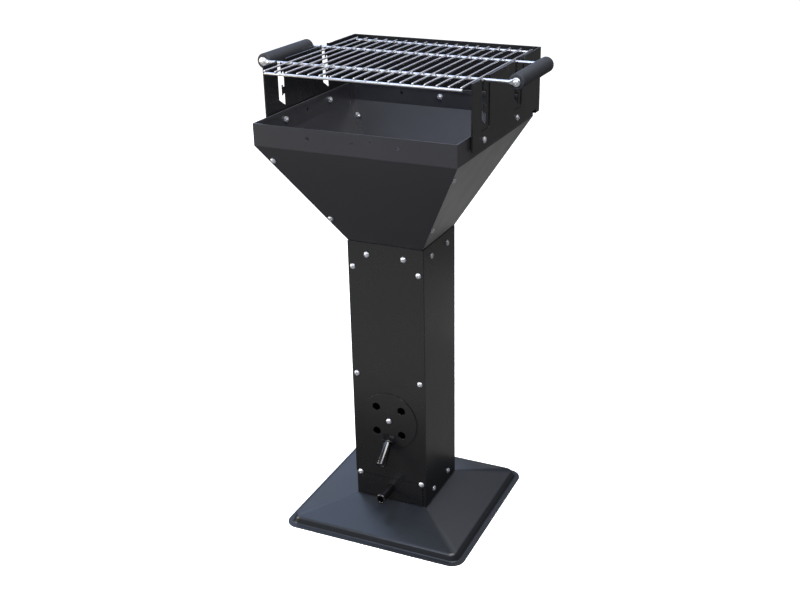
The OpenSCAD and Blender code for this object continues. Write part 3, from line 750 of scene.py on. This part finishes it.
@dataclass
class BasePlate:
    """The pressed base: a flat lip, a steep riser and a shallow pyramid under the column."""

    sheet: float = 2.5 * MM
    corner: float = 28 * MM
    lip: float = 11 * MM
    riser: float = 14 * MM
    lean: float = 4 * MM
    plateau: float = 81 * MM
    plateau_corner: float = 2 * MM
    top_bends: tuple[float, ...] = (0, 1 * MM, 2.5 * MM, 5 * MM, 2 * MM, 0)
    under_bends: tuple[float, ...] = (0, 2 * MM, 3 * MM, 0)
    bend_share: float = 0.45
    steps: int = 20
    turns: int = 6
    middle: Vector = field(default_factory=Vector)

    def inset(self, half: Vector, by: float, z: float) -> Ring:
        """Gives the plate's outline, drawn in.

        Args:
            half: Half the plate's sides.
            by: How far it is drawn in.
            z: Its height.

        Returns:
            The ring.
        """
        return Ring(half.x - by, half.y - by, self.corner - min(by, self.lip), z)

    def soften(self, rings: Sequence[Ring], reaches: Sequence[float]) -> list[Ring]:
        """Bends the section gently at each ring.

        Args:
            rings: The section's corners.
            reaches: How far from each corner the bend starts; zero keeps it sharp.

        Returns:
            The rings with their bends.
        """
        found: list[Ring] = []
        for i, (ring, reach) in enumerate(zip(rings, reaches)):
            if reach == 0:
                found.append(ring)
                continue
            before, after = rings[i - 1], rings[i + 1]
            start = ring.mix(before, min(reach / ring.gap(before), self.bend_share))
            end = ring.mix(after, min(reach / ring.gap(after), self.bend_share))
            for k in range(self.turns + 1):
                t = k / self.turns
                found.append(start.mix(ring, t).mix(ring.mix(end, t), t))
        return found

    def build(self) -> None:
        """Builds the base plate."""
        low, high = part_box("base_plate")
        half = (high - low) / 2
        middle = Vector(((low.x + high.x) / 2, (low.y + high.y) / 2, 0))
        shoulder = self.lip + self.lean
        shoulder_z = self.sheet + self.riser
        outer = [
            self.inset(half, 0, 0),
            self.inset(half, 0, self.sheet),
            self.inset(half, self.lip, self.sheet),
            self.inset(half, shoulder, shoulder_z),
            Ring(self.plateau, self.plateau, self.plateau_corner, high.z),
            Ring(self.plateau / 2, self.plateau / 2, self.plateau_corner, high.z),
        ]
        inner = [
            Ring(self.plateau / 2, self.plateau / 2, self.plateau_corner, high.z - self.sheet),
            Ring(self.plateau, self.plateau, self.plateau_corner, high.z - self.sheet),
            self.inset(half, shoulder + self.sheet, shoulder_z - self.sheet),
            self.inset(half, self.lip + self.sheet, 0),
        ]
        top = self.soften(outer, self.top_bends)
        under = self.soften(inner, self.under_bends)
        skin = [ring.points(middle, self.steps) for ring in under + top]
        form = bmesh.new()
        add_loft(form, skin)
        add_piece("base_pressing", form, Body.PEDESTAL, Slot.BASE_COAT, ["base_plate"])


@dataclass(frozen=True)
class Head:
    """Sizes of a domed screw head with a cross recess."""

    width: float
    height: float
    edge: float
    recess: float
    slot: float
    depth: float


@dataclass
class Fasteners:
    """Cross-recess screws, low handle bolts, countersunk bolts and chamfered nuts, all M6."""

    pan: Head = Head(11.5 * MM, 3.6 * MM, 1.0 * MM, 6.2 * MM, 1.5 * MM, 2.3 * MM)
    low: Head = Head(9.5 * MM, 2.0 * MM, 0.6 * MM, 4.8 * MM, 1.2 * MM, 1.3 * MM)
    shank: float = 6 * MM
    pitch: float = 1 * MM
    thread_depth: float = 0.5 * MM
    flats: float = 10 * MM
    nut_height: float = 4.5 * MM
    nut_chamfer: float = 0.5 * MM
    nut_edge: float = 0.1 * MM
    nut_face: float = 0.97
    nut_fall: float = 0.6
    nut_points: int = 48
    bore_gap: float = 0.1 * MM
    recess_taper: tuple[float, float] = (0.55, 1.25)
    head_round: float = 0.25 * MM
    head_steps: int = 7
    sectors: int = 36
    sunk_edge: float = 0.3 * MM
    sunk_taper: float = 0.6
    sunk_height: float = 2 * MM
    sunk_width: float = 11 * MM
    sunk_socket: float = 4 * MM
    sunk_depth: float = 1.2 * MM
    screws: tuple[tuple[str, Body], ...] = (
        ("bracket_screws", Body.PEDESTAL),
        ("front_panel_screws", Body.PEDESTAL),
        ("hip_screws", Body.PEDESTAL),
        ("skirt_screws", Body.PEDESTAL),
        ("side_panel_screws", Body.PEDESTAL),
        ("back_shield_screw", Body.PEDESTAL),
        ("vent_pivot_screw", Body.PEDESTAL),
        ("vent_knob_screw", Body.VENT),
        ("drawer_knob_screw", Body.DRAWER),
    )
    nuts: tuple[str, ...] = (
        "base_nuts",
        "bracket_nuts",
        "front_panel_nuts",
        "hip_nuts",
        "skirt_nuts",
        "side_panel_nuts",
        "back_shield_nut",
        "vent_pivot_nut",
    )
    _heads: dict[Head, bpy.types.Mesh] = field(default_factory=dict)

    def head_profile(self, head: Head) -> list[tuple]:
        """Gives a domed head's profile from its flat underside to its crown.

        Args:
            head: The head's sizes.

        Returns:
            Points of radius and height.
        """
        dome = head.height - head.edge
        radius = ((head.width / 2) ** 2 + dome**2) / (2 * dome)
        spread = math.asin(head.width / 2 / radius)
        angles = [spread * (1 - i / self.head_steps) for i in range(1, self.head_steps)]
        arc = [(radius * math.sin(a), head.height - radius * (1 - math.cos(a))) for a in angles]
        side = [(0, 0), (head.width / 2, 0), (head.width / 2, head.edge), arc[0]]
        return rounded(side, (0, self.head_round, self.head_round, 0)) + arc[1:] + [(0, head.height)]

    def cross(self, head: Head) -> bmesh.types.BMesh:
        """Builds the tapered cross that cuts a head's recess.

        Args:
            head: The head's sizes.

        Returns:
            Its mesh.
        """
        arm, half = head.recess / 2, head.slot / 2
        outline = [(half, arm), (-half, arm), (-half, half), (-arm, half), (-arm, -half), (-half, -half)]
        outline += [(-x, -y) for x, y in outline]
        ends = zip(self.recess_taper, (head.height - head.depth, head.height + head.edge))
        form = bmesh.new()
        add_loft(form, [[Vector((x * share, y * share, z)) for x, y in outline] for share, z in ends])
        bmesh.ops.recalc_face_normals(form, faces=form.faces)
        return form

    def head_mesh(self, head: Head) -> bpy.types.Mesh:
        """Cuts the cross recess into a head once, and keeps the mesh.

        Args:
            head: The head's sizes.

        Returns:
            The head, standing on its underside.
        """
        if head in self._heads:
            return self._heads[head]
        form = bmesh.new()
        add_lathe(form, self.head_profile(head), self.sectors)
        bmesh.ops.recalc_face_normals(form, faces=form.faces)
        pieces = []
        for name, shape in (("head", form), ("cross", self.cross(head))):
            mesh = bpy.data.meshes.new(name)
            shape.to_mesh(mesh)
            shape.free()
            piece = bpy.data.objects.new(name, mesh)
            bpy.context.scene.collection.objects.link(piece)
            pieces.append(piece)
        cut = pieces[0].modifiers.new("recess", "BOOLEAN")
        cut.operation = "DIFFERENCE"
        cut.object = pieces[1]
        bpy.context.view_layer.update()
        ready = pieces[0].evaluated_get(bpy.context.evaluated_depsgraph_get())
        self._heads[head] = bpy.data.meshes.new_from_object(ready)
        for piece in pieces:
            bpy.data.objects.remove(piece)
        return self._heads[head]

    def shank_profile(self, length: float) -> list[tuple]:
        """Gives a shank's profile with rings in place of its thread.

        Args:
            length: Length of the shank under the head.

        Returns:
            Points of radius and height, from the tip at zero up to the head.
        """
        crest, root = self.shank / 2, self.shank / 2 - self.thread_depth
        profile = [(0, 0), (root - self.thread_depth, 0)]
        turns = int((length - self.pitch) / self.pitch)
        for i in range(turns):
            z = (i + 0.5) * self.pitch
            profile += [(root, z), (crest, z + 0.4 * self.pitch), (crest, z + 0.6 * self.pitch)]
        profile += [(root, (turns + 0.5) * self.pitch), (root, length), (0, length)]
        return profile

    def screw(self, solid: Turned, head: Head | None = None) -> bmesh.types.BMesh:
        """Builds one screw in place.

        Args:
            solid: The measure of the CAD screw.
            head: The head's sizes, if it is not a pan head.

        Returns:
            Its mesh.
        """
        head = head or self.pan
        length = solid.length - head.height
        form = bmesh.new()
        form.from_mesh(self.head_mesh(head))
        bmesh.ops.translate(form, vec=(0, 0, length), verts=form.verts)
        add_lathe(form, self.shank_profile(length), self.sectors // 2)
        stand(form, solid.foot, solid.along)
        return form

    def low_bolt(self, solid: Turned) -> bmesh.types.BMesh:
        """Builds one handle bolt in place."""
        return self.screw(solid, self.low)

    def nut(self, solid: Turned) -> bmesh.types.BMesh:
        """Builds one chamfered nut in place.

        Args:
            solid: The measure of the CAD nut.

        Returns:
            Its mesh.
        """
        face, height = self.flats / 2 * self.nut_face, self.nut_height
        bore, chamfer = self.shank / 2 + self.bore_gap, self.nut_chamfer
        rings = [
            self.nut_ring(bore, chamfer, 0),
            self.nut_ring(bore + chamfer, 0, 0),
            self.nut_ring(face, 0, 0),
            self.nut_ring(None, self.nut_edge, self.nut_fall),
            self.nut_ring(None, height - self.nut_edge, -self.nut_fall),
            self.nut_ring(face, height, 0),
            self.nut_ring(bore + chamfer, height, 0),
            self.nut_ring(bore, height - chamfer, 0),
        ]
        form = bmesh.new()
        add_loft(form, rings, closed=True)
        stand(form, solid.foot, solid.along)
        return form

    def nut_ring(self, radius: float | None, z: float, falls: float) -> list[Vector]:
        """Gives one level ring of a nut.

        Args:
            radius: Its radius, or nothing where it follows the six flats.
            z: Its height.
            falls: How far the chamfer bends it where the corners stand out.

        Returns:
            Its points.
        """
        sixth = math.radians(60)
        flat = self.flats / 2
        points = []
        for i in range(self.nut_points):
            turn = 2 * math.pi * i / self.nut_points
            reach = flat / math.cos(turn % sixth - sixth / 2)
            r = reach if radius is None else radius
            height = z + falls * (reach - flat)
            points.append(Vector((r * math.cos(turn), r * math.sin(turn), height)))
        return points

    def sunk_bolt(self, solid: Turned) -> bmesh.types.BMesh:
        """Builds one countersunk bolt in place.

        Args:
            solid: The measure of the CAD bolt.

        Returns:
            Its mesh.
        """
        length = solid.length
        crown = length - self.sunk_edge
        profile = self.shank_profile(length - self.sunk_height)[:-1]
        head, socket, floor_z = self.sunk_width / 2, self.sunk_socket / 2, length - self.sunk_depth
        profile += [(head, crown), (head, length), (socket, length)]
        profile += [(socket * self.sunk_taper, floor_z), (0, floor_z)]
        form = bmesh.new()
        add_lathe(form, profile, self.sectors)
        stand(form, solid.foot, solid.along)
        return form

    def build(self) -> None:
        """Builds every fastener group."""
        for node, body in self.screws:
            self.group(node, body, self.screw)
        for node in self.nuts:
            self.group(node, Body.PEDESTAL, self.nut)
        self.group("base_bolts", Body.PEDESTAL, self.sunk_bolt)
        self.group("handle_bolts", Body.COOKING_GRATE, self.low_bolt)

    def group(
        self, node: str, body: Body, maker: Callable[[Turned], bmesh.types.BMesh]
    ) -> None:
        """Builds one node's fasteners as one piece.

        Args:
            node: The CAD node that they replace.
            body: The body that they ride on.
            maker: The method that builds one of them.
        """
        form = bmesh.new()
        for solid in turned_solids(node):
            merge(form, maker(solid))
        add_piece(f"{node}_detail", form, body, Slot.ZINC, [node])


@dataclass
class Knobs:
    """The two turned knobs, each with a deep hollow in its end."""

    base: float = 17 * MM
    end: float = 22 * MM
    hollow: float = 13 * MM
    hollow_depth: float = 24 * MM
    bore: float = 6.2 * MM
    hollow_taper: float = 0.5 * MM
    bore_depth: float = 19 * MM
    rounds: tuple[float, ...] = (0, 0, 0.4 * MM, 0.8 * MM, 1.9 * MM, 1 * MM, 2 * MM, 0)
    sectors: int = 72

    def build(self) -> None:
        """Builds both knobs."""
        for node, body in (("vent_knob", Body.VENT), ("drawer_knob", Body.DRAWER)):
            (solid,) = turned_solids(node)
            floor_z = solid.length - self.hollow_depth
            corners = [
                (0, self.bore_depth),
                (self.bore / 2, self.bore_depth),
                (self.bore / 2, 0),
                (self.base / 2, 0),
                (self.end / 2, solid.length),
                (self.hollow / 2, solid.length),
                (self.hollow / 2 - self.hollow_taper, floor_z),
                (0, floor_z),
            ]
            form = bmesh.new()
            add_lathe(form, rounded(corners, self.rounds), self.sectors)
            stand(form, solid.foot, solid.along)
            add_piece(f"{node}_turned", form, body, Slot.KNOB, [node])


@dataclass
class CookingGrate:
    """Bars welded on wires and rods, whose flattened ends hold the two hand grips."""

    bar: float = 3.5 * MM
    wire: float = 5 * MM
    rod: float = 6 * MM
    eyelet: float = 16 * MM
    eyelet_thick: float = 4 * MM
    neck: float = 13 * MM
    shoulder: float = 7 * MM
    shoulder_share: float = 0.62
    rim_share: float = 0.55
    pressed_bulge: tuple[float, float] = (0.45, 0.9)
    end_round: float = 0.5
    grip_round: float = 2.5 * MM
    weld: float = 1.2 * MM
    weld_squeeze: tuple[float, ...] = (1.0, 1.35, 0.75, 1.0)
    weld_steps: int = 6
    weld_sectors: int = 10
    sectors: int = 20
    rod_sectors: int = 24
    grip_sectors: int = 72

    def rod_form(self, solid: Turned, radius: float) -> bmesh.types.BMesh:
        """Builds one straight wire with softly cut ends.

        Args:
            solid: The measure of the CAD wire.
            radius: Its radius.

        Returns:
            Its mesh.
        """
        corners = [(0, 0), (radius, 0), (radius, solid.length), (0, solid.length)]
        end = radius * self.end_round
        form = bmesh.new()
        add_lathe(form, rounded(corners, (0, end, end, 0)), self.sectors)
        stand(form, solid.foot, solid.along)
        return form

    def weld_form(self, place: Vector) -> bmesh.types.BMesh:
        """Builds the small flattened nugget of one weld.

        Args:
            place: The point where two wires touch.

        Returns:
            Its mesh.
        """
        angles = [math.pi * i / self.weld_steps for i in range(1, self.weld_steps)]
        ball = [(self.weld * math.sin(a), -self.weld * math.cos(a)) for a in angles]
        form = bmesh.new()
        add_lathe(form, [(0, -self.weld), *ball, (0, self.weld)], self.weld_sectors)
        squeeze = Matrix.Diagonal(self.weld_squeeze) @ Matrix.Rotation(math.radians(90), 4, "Z")
        bmesh.ops.transform(form, matrix=Matrix.Translation(place) @ squeeze, verts=form.verts)
        return form

    def eyelet_rod(self, node: str) -> bmesh.types.BMesh:
        """Builds one carrying rod, pressed flat and round at both ends.

        Args:
            node: The CAD node's name.

        Returns:
            Its mesh.
        """
        low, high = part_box(node)
        middle = (low + high) / 2
        reach = (high.x - low.x) / 2
        eye = reach - self.eyelet / 2
        neck, flat = eye - self.neck, eye - self.shoulder
        radius, broad, thick = self.rod / 2, self.eyelet / 2, self.eyelet_thick / 2
        stations = [(0.0, radius, radius), (neck, radius, radius)]
        tall = broad * self.shoulder_share
        for share in (0.25, 0.5, 0.75, 1.0):
            ease = share * share * (3 - 2 * share)
            x = neck + (flat - neck) * share
            stations.append((x, radius + (tall - radius) * ease, radius + (thick - radius) * ease))
        first, last, turns = math.radians(140), math.radians(4), 14
        for i in range(turns + 1):
            angle = first + (last - first) * i / turns
            x, half = eye + broad * math.cos(angle), broad * math.sin(angle)
            stations.append((x, half, thick * min(1, self.rim_share + math.sin(angle))))
        form = bmesh.new()
        sides = [self.section(x, half_y, half_z) for x, half_z, half_y in stations]
        rings = [[middle + Vector((-p.x, p.y, p.z)) for p in ring] for ring in reversed(sides[1:])]
        rings += [[middle + p for p in ring] for ring in sides]
        add_loft(form, rings)
        return form

    def section(self, x: float, half_y: float, half_z: float) -> list[Vector]:
        """Gives a rod's section: round along the rod, flat-sided where it is pressed.

        Args:
            x: Its place along the rod.
            half_y: Half its thickness.
            half_z: Half its height.

        Returns:
            Its points.
        """
        pressed = half_z > self.rod / 2 + SAME_PLANE
        bulge_y, bulge_z = self.pressed_bulge if pressed else (1.0, 1.0)
        points = []
        for i in range(self.rod_sectors):
            c, s = (f(2 * math.pi * i / self.rod_sectors) for f in (math.cos, math.sin))
            y = half_y * math.copysign(abs(c) ** bulge_y, c)
            points.append(Vector((x, y, half_z * math.copysign(abs(s) ** bulge_z, s))))
        return points

    def grip_form(self, node: str) -> bmesh.types.BMesh:
        """Builds one hand grip with rounded ends.

        Args:
            node: The CAD node's name.

        Returns:
            Its mesh.
        """
        low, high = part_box(node)
        radius, length = (high.x - low.x) / 2, high.y - low.y
        corners = [(0, 0), (radius, 0), (radius, length), (0, length)]
        form = bmesh.new()
        add_lathe(form, rounded(corners, (0, self.grip_round, self.grip_round, 0)), self.grip_sectors)
        foot = Vector(((low.x + high.x) / 2, low.y, (low.z + high.z) / 2))
        stand(form, foot, Vector((0, 1, 0)))
        return form

    def build(self) -> None:
        """Builds the whole grate."""
        bars = straight_wires("grate_bars")
        wires = straight_wires("grate_cross_wires")
        form = bmesh.new()
        for solid in bars:
            merge(form, self.rod_form(solid, self.bar / 2))
        rods = [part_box(node) for node in ("grate_rod_front", "grate_rod_rear")]
        rows = [wire.foot.y for wire in wires] + [(low.y + high.y) / 2 for low, high in rods]
        for solid in bars:
            for y in rows:
                merge(form, self.weld_form(Vector((solid.foot.x, y, solid.foot.z - self.bar / 2))))
        add_piece("grate_bars_welded", form, Body.COOKING_GRATE, Slot.CHROME, ["grate_bars"])
        form = bmesh.new()
        for solid in wires:
            merge(form, self.rod_form(solid, self.wire / 2))
        add_piece("grate_cross_wires_cut", form, Body.COOKING_GRATE, Slot.CHROME, ["grate_cross_wires"])
        for node in ("grate_rod_front", "grate_rod_rear"):
            add_piece(f"{node}_pressed", self.eyelet_rod(node), Body.COOKING_GRATE, Slot.CHROME, [node])
        for node in ("handle_left", "handle_right"):
            add_piece(f"{node}_grip", self.grip_form(node), Body.COOKING_GRATE, Slot.GRIP, [node])


@dataclass
class CharcoalGrate(CookingGrate):
    """The enamelled grate low in the fire box."""

    coal_wire: float = 5 * MM

    def build(self) -> None:
        """Builds its bars and cross wires."""
        for node in ("charcoal_grate_bars", "charcoal_grate_wires"):
            form = bmesh.new()
            for solid in straight_wires(node):
                merge(form, self.rod_form(solid, self.coal_wire / 2))
            add_piece(f"{node}_enamelled", form, Body.CHARCOAL_GRATE, Slot.ENAMEL, [node])


@dataclass(frozen=True)
class Lamp:
    """One soft box: where it hangs, the point it faces, its width and height, watts and colour."""

    name: str
    place: tuple[float, float, float]
    target: tuple[float, float, float]
    size: tuple[float, float]
    power: float
    colour: str

    def hang(self) -> None:
        """Adds the lamp to the scene, unseen by the camera."""
        light = bpy.data.lights.new(self.name, "AREA")
        light.shape = "RECTANGLE"
        light.size, light.size_y = self.size
        light.energy = self.power
        light.color = linear(self.colour)[:3]
        lamp = bpy.data.objects.new(self.name, light)
        lamp.location = self.place
        way = Vector(self.target) - Vector(self.place)
        lamp.rotation_euler = way.to_track_quat("-Z", "Y").to_euler()
        lamp.visible_camera = False
        bpy.context.scene.collection.objects.link(lamp)


@dataclass
class Studio:
    """Pale floor, soft lights and the photograph's camera."""

    azimuth: float = 22.83
    elevation: float = 23.23
    roll: float = -0.25
    camera_place: tuple[float, float, float] = (0.86567, -1.86921, 1.34905)
    focal_px: float = 1104
    centre_px: tuple[float, float] = (445, 301)
    image_px: tuple[float, float] = (800, 600)
    sensor: float = 36
    floor_size: float = 40
    floor_colour: str = "#f4f4f2"
    floor_glow: float = 1.1
    floor_roughness: float = 0.9
    floor_specular: float = 0.1
    sky_strength: float = 1.0
    sky: tuple[tuple[float, str], ...] = (
        (0.0, "#646464"),
        (0.47, "#646464"),
        (0.52, "#3e3f43"),
        (1.0, "#4a4c53"),
    )
    lamps: tuple[Lamp, ...] = (
        Lamp("front_high", (0, -2.6, 2.4), (0, 0, 0.8), (2.6, 1.4), 60, "#dce6ff"),
        Lamp("front_left", (-2.6, -1.6, 1.2), (0, 0, 0.6), (1.6, 1.6), 64, "#fff7e4"),
        Lamp("right_top", (0.9, -0.8, 3.0), (0, 0, 0.7), (1.8, 1.8), 82, "#ffffff"),
        Lamp("sky_box", (-1.8, 0.5, 3.0), (0, 0, 0.6), (3.0, 3.0), 62, "#c3d8ff"),
        Lamp("back_high", (0, 2.6, 2.4), (0, 0, 0.8), (2.6, 1.4), 5, "#f0f2ff"),
        Lamp("back_card", (-2.0, 2.5, 1.2), (0, 0, 0.4), (2.8, 2.4), 20, "#cbdcff"),
        Lamp("far_ground", (-1.1, -2.35, 0.02), (-1.1, -2.3, 2.0), (2.4, 1.5), 4.2, "#ffffff"),
        Lamp("near_ground", (-0.45, -1.0, 0.02), (-0.45, -0.95, 2.0), (1.2, 1.0), 1.7, "#ffffff"),
        Lamp("back_ground", (-0.2, 1.4, 0.02), (-0.2, 1.3, 2.0), (1.2, 1.2), 0.8, "#ffffff"),
        Lamp("side_ground", (0.42, 0.66, 0.02), (0.42, 0.66, 2.0), (0.66, 1.2), 0.27, "#ffffff"),
        Lamp("back_top", (0.7, 1.7, 3.2), (0, 0, 0.6), (1.8, 1.8), 14, "#f4f7ff"),
    )

    def camera(self) -> None:
        """Makes the camera that stands where the photograph's did."""
        az, el, roll = (math.radians(a) for a in (self.azimuth, self.elevation, self.roll))
        back = Vector((math.sin(az) * math.cos(el), -math.cos(az) * math.cos(el), math.sin(el)))
        right = (-back).cross(Vector((0, 0, 1))).normalized()
        up = back.cross(right)
        right, up = (
            right * math.cos(roll) + up * math.sin(roll),
            up * math.cos(roll) - right * math.sin(roll),
        )
        width, height = self.image_px
        lens = bpy.data.cameras.new("photo_camera")
        lens.sensor_width = self.sensor
        lens.lens = self.focal_px * self.sensor / width
        lens.shift_x = (width / 2 - self.centre_px[0]) / width
        lens.shift_y = (self.centre_px[1] - height / 2) / width
        camera = bpy.data.objects.new("photo_camera", lens)
        turn = Matrix((right, up, back)).transposed().to_4x4()
        camera.matrix_world = Matrix.Translation(self.camera_place) @ turn
        bpy.context.scene.collection.objects.link(camera)
        bpy.context.scene.camera = camera

    def floor(self) -> None:
        """Lays the pale floor, which the object's own shading does not see."""
        material, tree, _ = blank_material("pale_studio_floor")
        colour = linear(self.floor_colour)
        shader = add_node(
            tree,
            "ShaderNodeBsdfPrincipled",
            {
                "Base Color": colour,
                "Roughness": self.floor_roughness,
                "Specular IOR Level": self.floor_specular,
                "Emission Color": colour,
                "Emission Strength": self.floor_glow,
            },
        )
        close_material(tree, shader)
        form = bmesh.new()
        bmesh.ops.create_grid(form, x_segments=8, y_segments=8, size=self.floor_size / 2)
        mesh = bpy.data.meshes.new("floor")
        form.to_mesh(mesh)
        form.free()
        mesh.materials.append(material)
        floor = bpy.data.objects.new("floor", mesh)
        floor.visible_glossy = False
        floor.visible_diffuse = False
        floor.visible_shadow = False
        bpy.context.scene.collection.objects.link(floor)

    def surroundings(self) -> None:
        """Lights the world with a grey ground and a dim cool sky, before a pale backdrop."""
        world = bpy.data.worlds.new("studio")
        world.use_nodes = True
        tree = world.node_tree
        tree.nodes.clear()
        place = add_node(tree, "ShaderNodeTexCoord")
        way = add_node(tree, "ShaderNodeSeparateXYZ", {"Vector": place.outputs["Generated"]})
        height = add_node(tree, "ShaderNodeMapRange", {"Value": way.outputs["Z"], "From Min": -1.0})
        ramp = add_node(tree, "ShaderNodeValToRGB", {"Fac": height.outputs["Result"]})
        ramp.color_ramp.elements.remove(ramp.color_ramp.elements[1])
        for i, (share, code) in enumerate(self.sky):
            stop = ramp.color_ramp.elements[0] if i == 0 else ramp.color_ramp.elements.new(share)
            stop.position = share
            stop.color = linear(code)
        glow = add_node(
            tree, "ShaderNodeBackground", {"Color": ramp.outputs["Color"], "Strength": self.sky_strength}
        )
        pale = add_node(
            tree,
            "ShaderNodeBackground",
            {"Color": linear(self.floor_colour), "Strength": self.floor_glow},
        )
        seen = add_node(tree, "ShaderNodeLightPath").outputs["Is Camera Ray"]
        both = add_node(tree, "ShaderNodeMixShader", {0: seen, 1: glow.outputs[0], 2: pale.outputs[0]})
        add_node(tree, "ShaderNodeOutputWorld", {"Surface": both.outputs[0]})
        bpy.context.scene.world = world

    def build(self) -> None:
        """Sets up floor, lights and camera."""
        bpy.context.scene.view_settings.view_transform = "Standard"
        self.surroundings()
        self.floor()
        for lamp in self.lamps:
            lamp.hang()
        self.camera()


def write_sizes() -> None:
    """Brings the view layer up to date."""
    bpy.context.view_layer.update()


def main() -> None:
    """Builds the studio and every sub-assembly."""
    logging.basicConfig(level=logging.INFO, format="%(message)s")
    for part in (Studio(), SheetMetal(), BasePlate(), Fasteners(), Knobs(), CookingGrate(), CharcoalGrate()):
        log.info("building %s", type(part).__name__)
        part.build()
    write_sizes()


if __name__ == "__main__":
    main()
